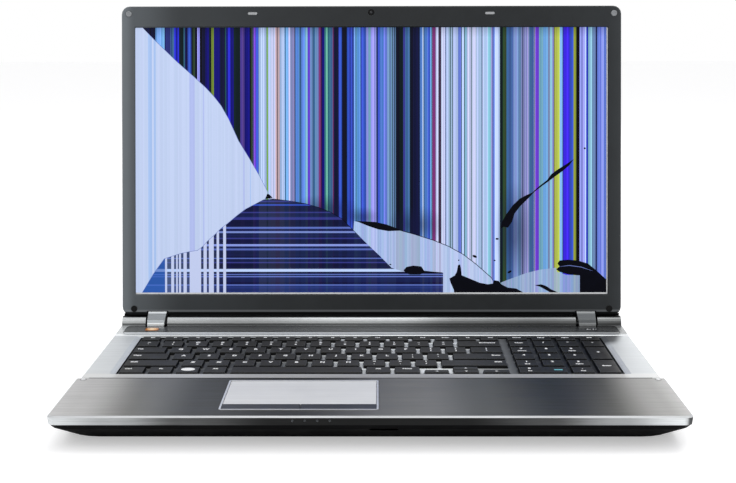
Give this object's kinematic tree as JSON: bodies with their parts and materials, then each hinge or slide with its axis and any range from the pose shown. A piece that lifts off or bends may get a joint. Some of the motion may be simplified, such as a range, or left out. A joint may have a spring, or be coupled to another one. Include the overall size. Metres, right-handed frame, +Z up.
{
  "type": "broken laptop",
  "caption": "Large laptop computer standing open, with a wide keyboard and number pad, a touchpad, and a cracked display that shows coloured stripes and ink blots.",
  "frame": {"origin": "middle of the footprint, on the surface that the rubber feet stand on", "axes": "+X to the user's right along the hinge axis, +Y to the rear, +Z up; the lid stands open as pictured"},
  "size_m": [0.4098, 0.309, 0.2788],
  "materials": {
    "brushed_silver": "brushed",
    "brushed_gunmetal": "brushed",
    "black_plastic": "fine texture",
    "charcoal_plastic": "satin",
    "gloss_black": "gloss",
    "key_plastic": "satin",
    "touchpad_plastic": "satin",
    "rubber": "matt",
    "display": "satin, broken",
    "lamp": "lit",
    "lens": "gloss",
    "board": "lacquered",
    "steel": "plain",
    "copper": "plain",
    "drive_aluminium": "plain"
  },
  "bodies": {
    "base": {"bottom_case": "black_plastic", "bottom_hatch": "black_plastic", "palm_rest": "brushed_gunmetal", "keyboard_deck": "brushed_silver", "hinge_cover": "brushed_silver", "strip_inlay": "gloss_black", "indicator_window": "lens", "touchpad_bezel": "brushed_silver", "touchpad": "touchpad_plastic", "keyboard": "key_plastic", "motherboard": "board", "processor": "black_plastic", "heat_pipe": "copper", "heatsink_fins": "copper", "fan_housing": "black_plastic", "memory_module": "board", "wireless_card": "board", "hard_drive": "drive_aluminium", "optical_drive_case": "steel", "battery_pack": "black_plastic", "speaker_left": "black_plastic", "speaker_right": "black_plastic", "usb_port_left": "steel", "usb_port_right": "steel", "network_port": "black_plastic", "video_port": "steel", "hdmi_port": "steel", "audio_jacks": "black_plastic", "power_jack": "black_plastic", "foot_front_left": "rubber", "foot_front_right": "rubber", "foot_rear_left": "rubber", "foot_rear_right": "rubber", "hinge_bracket_left": "steel", "hinge_bracket_right": "steel", "display_cable_base": "black_plastic"},
    "lid": {"lid_cover": "charcoal_plastic", "screen_bezel": "charcoal_plastic", "lcd_panel": "steel", "lcd_glass": "display", "webcam": "lens", "hinge_arm_left": "steel", "hinge_arm_right": "steel", "hinge_cap_left": "brushed_silver", "hinge_cap_right": "brushed_silver", "lid_bumper_left": "rubber", "lid_bumper_right": "rubber", "mic_inlay_left": "brushed_silver", "mic_inlay_right": "brushed_silver", "display_cable_lid": "black_plastic"},
    "power_button": {"power_button": "lamp"},
    "touchpad_button_left": {"touchpad_button_left": "touchpad_plastic"},
    "touchpad_button_right": {"touchpad_button_right": "touchpad_plastic"},
    "space_bar": {"space_bar": "key_plastic"},
    "fan_rotor": {"fan_rotor": "black_plastic"},
    "drive_tray": {"drive_tray": "black_plastic"},
    "drive_spindle": {"drive_spindle": "steel"},
    "eject_button": {"eject_button": "black_plastic"},
    "battery_latch": {"battery_latch": "black_plastic"},
    "battery_lock": {"battery_lock": "black_plastic"}
  },
  "joints": [
    {"name": "lid_hinge", "type": "hinge", "parent": "base", "child": "lid", "pos_m": [0, 0.10654, 0.0245], "axis": [1, 0, 0], "range_deg": [-36, 98.93]},
    {"name": "power_button_press", "type": "slide", "parent": "base", "child": "power_button", "axis": [0, 0, -1], "range_m": [0, 0.0007], "stiffness_N_per_m": 400, "springref_m": -0.0006},
    {"name": "touchpad_left_press", "type": "slide", "parent": "base", "child": "touchpad_button_left", "axis": [0, 0, -1], "range_m": [0, 0.0006], "stiffness_N_per_m": 400, "springref_m": -0.0006},
    {"name": "touchpad_right_press", "type": "slide", "parent": "base", "child": "touchpad_button_right", "axis": [0, 0, -1], "range_m": [0, 0.0006], "stiffness_N_per_m": 400, "springref_m": -0.0006},
    {"name": "space_bar_press", "type": "slide", "parent": "base", "child": "space_bar", "axis": [0, 0, -1], "range_m": [0, 0.0014], "stiffness_N_per_m": 250, "springref_m": -0.0006},
    {"name": "fan_spin", "type": "hinge", "parent": "base", "child": "fan_rotor", "pos_m": [-0.155, 0.04204, 0.0056], "axis": [0, 0, 1], "continuous": true},
    {"name": "tray_slide", "type": "slide", "parent": "base", "child": "drive_tray", "axis": [1, 0, 0], "range_m": [0, 0.115]},
    {"name": "spindle_spin", "type": "hinge", "parent": "drive_tray", "child": "drive_spindle", "pos_m": [0.13298, 0.00654, 0.0067], "axis": [0, 0, 1], "continuous": true},
    {"name": "eject_press", "type": "slide", "parent": "drive_tray", "child": "eject_button", "axis": [-1, 0, 0], "range_m": [0, 0.0005], "stiffness_N_per_m": 400, "springref_m": -0.0006},
    {"name": "battery_latch_slide", "type": "slide", "parent": "base", "child": "battery_latch", "axis": [-1, 0, 0], "range_m": [0, 0.0085], "stiffness_N_per_m": 60, "springref_m": -0.002},
    {"name": "battery_lock_slide", "type": "slide", "parent": "base", "child": "battery_lock", "axis": [1, 0, 0], "range_m": [0, 0.0085]}
  ]
}
